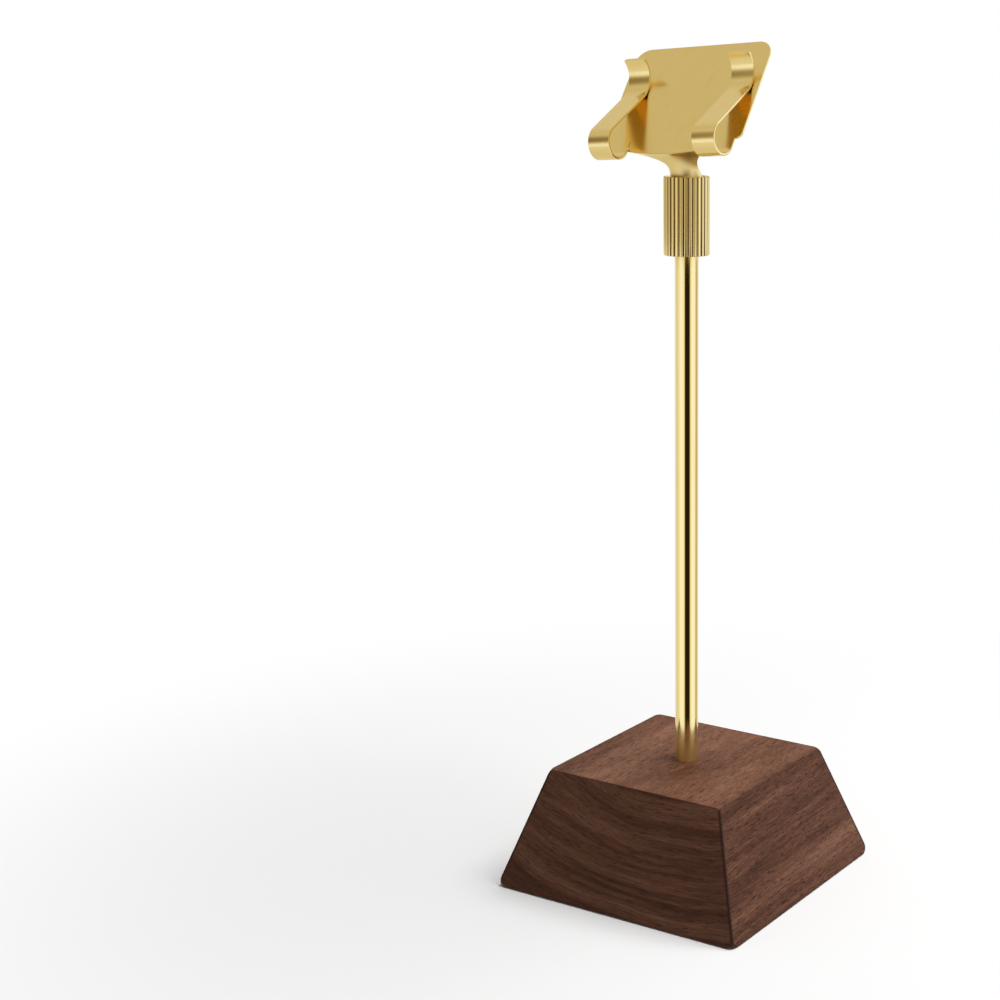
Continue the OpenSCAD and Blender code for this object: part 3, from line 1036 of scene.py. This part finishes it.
def bore(gold, place, parts):
    """The turned inside, which no polishing wheel reaches."""
    x, y, z = parts
    return (1.0 - gold.smooth_step((x * x + y * y) ** 0.5, 4.1, 4.3)) * 0.4


# painted shade: this dark colour in the grooves stands in for the shade that falls in them
PAINTED_GROOVE_SHADE = (0.26, 0.14, 0.035)
knurl_gold = gold_material(
    "knurled_gold",
    marks=knurl_marks,
    deepen_and_shade=groove_shade_mask,
    roughness=0.05,
    strength=0.05,
    distance=0.00002,
    dull=bore,
    deep=PAINTED_GROOVE_SHADE,
)
paint(knurl_gold, sleeve)

# %% Gold: the mirror sheet


def sheet_waves(gold, place, parts):
    """Wide waves that bending leaves in the sheet, and a very fine skin over them."""
    waves = gold.noise(gold.stretch(place, 0.12, 0.12, 0.12), 1.0, 1.0)
    return waves + gold.noise(gold.stretch(place, 3.0, 3.0, 3.0), 1.0, 2.0) * 0.01


def drawn_neck(gold, place, parts):
    """Drawing the flat sheet out into the neck stretches its skin, which leaves it satin."""
    x, y, z = parts
    near_axis = 1.0 - gold.smooth_step((x * x + y * y) ** 0.5, 6.5, 9.5)
    return near_axis * (1.0 - gold.smooth_step(z, 156.5, 158.8)) * 0.24


sheet_gold = gold_material(
    "mirror_gold_sheet",
    marks=sheet_waves,
    deepen_and_shade=faint_cloud,
    roughness=0.17,
    strength=0.20,
    distance=0.00012,
    dull=drawn_neck,
)
paint(sheet_gold, clip, *arms)

# %% [markdown]
# ## The hidden pieces
# Felt, nylon, plated steel, bare and gilt brass and the hard ball are only seen from
# below or through the sleeve's mouth. They still get their own finish, because the
# object is turned round in use: short fibres for felt, a moulded skin for nylon, lathe
# rings for the turned pieces.

# %% Felt
felt, wool = new_material("pressed_felt")
place, (x, y, z) = wool.millimetres()
fluff = wool.noise(wool.stretch(place, 3.5, 3.5, 3.5), 1.0, 5.0, 0.75, 0.8)
strands = wool.noise(wool.stretch(place, 1.3, 6.0, 3.0), 1.0, 3.0, 0.7, 1.5)
wool_tone = fluff * 0.6 + strands * 0.4
wool.surface(
    Base_Color=wool.ramp(wool_tone, [(0.3, (0.006, 0.006, 0.007)), (0.7, (0.040, 0.039, 0.042))]),
    Roughness=0.95,
    Normal=wool.bump(wool_tone, 0.8, 0.00015),
    Sheen_Weight=0.3,
    Specular_IOR_Level=0.2,
)
paint(felt, pad)

# %% Turned metal


def turned_metal(name, colour, dull, roughness):
    """Metal with the fine rings of a lathe tool round Z."""
    material, metal = new_material(name)
    place, (x, y, z) = metal.millimetres()
    from_axis = (x * x + y * y) ** 0.5
    rings = metal.noise(metal.join(from_axis * 9.0, z * 9.0, 0.0), 1.0, 2.0, 0.6)
    tarnish = metal.smooth_step(metal.noise(place, 0.9, 3.0), 0.45, 0.75)
    metal.surface(
        Base_Color=metal.blend(tarnish * 0.6, colour, dull),
        Metallic=1.0,
        Roughness=roughness + rings * 0.12 + tarnish * 0.1,
        Normal=metal.bump(rings, 0.25, 0.00003),
    )
    return material


# each finish: its name, colour, tarnish, roughness and the pieces that have it
TURNED_FINISHES = (
    ("turned_brass", (0.72, 0.50, 0.19), (0.50, 0.33, 0.12), 0.22, ("thread_collar",)),
    ("gilt_brass", (0.92, 0.74, 0.36), (0.84, 0.64, 0.28), 0.12, ("pressure_ring",)),
    ("plated_steel", (0.60, 0.61, 0.63), (0.42, 0.44, 0.46), 0.28, ("fixing_screw", "fixing_washer")),
    ("polished_steel", (0.70, 0.70, 0.71), (0.55, 0.55, 0.56), 0.08, ("ball_stud",)),
)
for name, colour, dull, roughness, turned in TURNED_FINISHES:
    paint(turned_metal(name, colour, dull, roughness), *(nodes[piece] for piece in turned))

# %% Moulded nylon
nylon, moulding = new_material("moulded_nylon")
place, (x, y, z) = moulding.millimetres()
skin = moulding.noise(moulding.stretch(place, 5.0, 5.0, 5.0), 1.0, 3.0, 0.6)
moulding.surface(
    Base_Color=moulding.ramp(skin, [(0.3, (0.66, 0.63, 0.55)), (0.7, (0.80, 0.77, 0.69))]),
    Roughness=0.38 + skin * 0.1,
    Normal=moulding.bump(skin, 0.15, 0.00003),
)
paint(nylon, nodes["lower_seat"], nodes["upper_seat"])

# %% [markdown]
# ## The studio
# Metal shows what stands round it, so the studio is half of the material. The post in
# the photograph is bright on both sides with one dark stripe, which is the dark room
# behind the camera between two soft lights. That room is painted into the world as a
# pattern of directions, seen by reflections only. The camera sees plain white, and the
# wood is lit by the lamp and a little of the white room.

# %% World: a room of soft lights for reflections
world = bpy.data.worlds.new("studio")
bpy.context.scene.world = world
world.use_nodes = True
room = Recipe(world.node_tree)
direction = room.node("ShaderNodeTexCoord", out=0)
to_camera = (math.sin(CAMERA_AZIMUTH), -math.cos(CAMERA_AZIMUTH), 0)
to_right = (math.cos(CAMERA_AZIMUTH), math.sin(CAMERA_AZIMUTH), 0)
side_part = room.share_along(direction, to_right)
front_part = room.share_along(direction, to_camera)
height_part = room.share_along(direction, (0, 0, 1))
turn = room.angle(side_part, front_part) * math.degrees(1)
rise = height_part.sum("ARCSINE", height_part) * math.degrees(1)
print("the room's middle is towards", [round(v, 2) for v in to_camera])

# %% [markdown]
# The room is a stack of five bands: the table, the lights just above it, a shelf, the
# horizon and the ceiling. Each band is a list of turns away from the camera, left
# negative, with the light's strength there. Between two bands the light changes over a
# few degrees.

# %% World: the five bands
BRIGHTEST = 1.3
TABLE = ((-180, 0.78), (-95, 0.78), (-60, 0.9), (0, 0.95), (60, 0.9), (110, 0.6), (180, 0.78))
LIGHTS = (
    (-180, 0.80), (-150, 1.0), (-128, 0.88), (-103, 0.86), (-88, 0.94), (-76, 1.02), (-62, 1.14),
    (-46, 1.15), (-28, 1.05), (-21, 0.80), (-15, 0.06), (-11, 0.02), (26, 0.02), (29, 0.08),
    (35.5, 0.85), (50, 1.15), (88, 1.13), (108, 0.56), (124, 0.70), (150, 1.0), (180, 0.80),
)
SHELF = (
    (-180, 0.60), (-120, 0.60), (-106, 0.52), (-95, 0.42), (-84, 0.52), (-72, 0.75), (-59, 0.95),
    (-46, 0.75), (-33, 0.50), (-12, 0.55), (0, 0.22), (10, 0.16), (20, 0.75), (34, 0.42),
    (46, 0.60), (58, 0.85), (70, 1.15), (82, 0.95), (95, 0.75), (104, 1.2), (128, 1.2),
    (142, 0.66), (180, 0.60),
)
HORIZON = (
    (-180, 0.85), (-125, 0.75), (-106, 0.17), (-82, 0.18), (-76, 0.29), (-73, 0.31), (-69, 0.5),
    (-50, 0.55), (-20, 0.5), (20, 0.5), (34, 1.0), (52, 1.0), (66, 0.4), (94, 0.4), (102, 1.3),
    (136, 1.3), (160, 0.85), (180, 0.85),
)
CEILING = (
    (-180, 0.76), (-135, 0.73), (-103, 0.67), (-97, 0.68), (-88, 0.73), (-76, 0.70), (-60, 0.60),
    (0, 0.66), (40, 0.74), (180, 0.76),
)
# where each band takes over from the one below it, in degrees above level
TAKE_OVERS = ((LIGHTS, -23, -20.5), (SHELF, -6, -5.6), (HORIZON, -3, 6), (CEILING, 14, 38))
print("stops in each band:", [len(stops) for stops in (TABLE, LIGHTS, SHELF, HORIZON, CEILING)])

# %% World: each band over the one below it


def band(stops):
    """The strength of one band, looked up by the turn."""
    greys = [(0.5 + angle / 360, (strength / BRIGHTEST,) * 3) for angle, strength in stops]
    return room.ramp(turn / 360 + 0.5, greys) * BRIGHTEST


reflected = band(TABLE)
for stops, low, high in TAKE_OVERS:
    reflected = reflected + room.smooth_step(rise, low, high) * (band(stops) - reflected)
print("nodes in the room so far:", len(world.node_tree.nodes))

# %% [markdown]
# In the photograph the gold shows bright lamps a little cool and dark corners warm. One
# ramp turns the grey strength into such a colour. The camera itself sees plain white, and
# all other light from the room is weak and white.

# %% World: tint and strength
WARMEST_TO_COOLEST = (
    (0.0, (0.0, 0.0, 0.0)),
    (0.12, (0.116, 0.078, 0.036)),
    (0.27, (0.26, 0.208, 0.131)),
    (0.60, (0.58, 0.53, 0.395)),
    (0.80, (0.775, 0.755, 0.67)),
    (1.15, (1.11, 1.24, 1.57)),
)
# a ramp holds colours up to 1 only, so they are stored as shares of the strongest light
MOST = 1.7
tints = [(s / BRIGHTEST, tuple(part / MOST for part in colour)) for s, colour in WARMEST_TO_COOLEST]
lamp_colour = room.ramp(reflected / BRIGHTEST, tints)

ray = room.tree.nodes.new("ShaderNodeLightPath")
seen = Wire(room, ray.outputs["Is Camera Ray"])
mirrored = Wire(room, ray.outputs["Is Glossy Ray"])
AMBIENT = 0.22
strength = AMBIENT + mirrored * (MOST - AMBIENT)
strength = strength + seen * (1.0 - strength)
colour = room.blend(mirrored, (1.0, 1.0, 1.0), lamp_colour)
sky = room.node("ShaderNodeBackground", {}, {"Color": colour, "Strength": strength})
room.node("ShaderNodeOutputWorld", {}, {"Surface": sky})
print("the room lights what isn't metal with a strength of", AMBIENT)

# %% [markdown]
# ## Floor and lamp
# The floor is white and catches a faint shadow. Away from the block it fades into the
# background, so no horizon shows. Seen in the metal or from below it is clear, which
# leaves the room's pattern below the horizon too. One large lamp hangs almost overhead,
# a little behind and to the right, which makes the top lightest and the left front face
# darkest.

# %% Floor
FLOOR_R = 3.0
FLOOR_RIM = 2.5

start_clean()
bpy.ops.mesh.primitive_circle_add(
    vertices=96, radius=FLOOR_R, fill_type="NGON", location=(0, 0, 0)
)
floor = take("floor")
pick(floor, "FACE", lambda at, f: True)
bpy.ops.mesh.inset(thickness=FLOOR_RIM, depth=0)
close(floor)
floor_material, ground = new_material("white_floor")
place, (x, y, z) = ground.millimetres()
far = ground.smooth_step((x * x + y * y) ** 0.5, 70.0, 210.0)
ray = ground.tree.nodes.new("ShaderNodeLightPath")
seen = Wire(ground, ray.outputs["Is Camera Ray"])
mirrored = Wire(ground, ray.outputs["Is Glossy Ray"])
paper_colour = ground.blend(seen, (0.36, 0.36, 0.36), (0.93, 0.93, 0.93))
paper = ground.node("ShaderNodeBsdfDiffuse", {}, {"Color": paper_colour})
white = ground.node("ShaderNodeEmission", {}, {"Color": (1, 1, 1, 1), "Strength": 1.0})
clear = ground.node("ShaderNodeBsdfTransparent", {}, {})
near_or_far = ground.node("ShaderNodeMixShader", {}, {0: far * seen, 1: paper, 2: white})
from_below = ground.node("ShaderNodeNewGeometry", out=6)
see_through = mirrored + from_below * (1.0 - mirrored)
seen_floor = ground.node("ShaderNodeMixShader", {}, {0: see_through, 1: near_or_far, 2: clear})
ground.node("ShaderNodeOutputMaterial", {}, {"Surface": seen_floor})
paint(floor_material, floor)
floor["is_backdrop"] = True

# %% Lamp
lamp = bpy.data.objects.new("soft_top_lamp", bpy.data.lights.new("soft_top_lamp", "AREA"))
bpy.context.scene.collection.objects.link(lamp)
toward_lamp = Vector((0.32, 0.22, 0.92)).normalized()
LAMP_DISTANCE = 0.9
LAMP_SIZE = 0.7
LAMP_POWER = 8.2
lamp.location = toward_lamp * LAMP_DISTANCE
lamp.rotation_euler = toward_lamp.to_track_quat("Z", "Y").to_euler()
lamp.data.shape = "DISK"
lamp.data.size = LAMP_SIZE
lamp.data.energy = LAMP_POWER
lamp.visible_glossy = False
print("lamp at", [round(v, 2) for v in lamp.location], "m")

# %% [markdown]
# ## Colour and sizes
# The Standard view shows colours as they are written. The boxes of the frame and of the
# dressed model are written down, so that a piece that grew past the frame is noticed.

# %% View and sizes
bpy.context.scene.view_settings.view_transform = "Standard"
dressed_low, dressed_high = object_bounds()
for name, low, high in (("cad", cad_low, cad_high), ("dressed", dressed_low, dressed_high)):
    print(name, [round(v / MM, 2) for v in (*low, *high)])
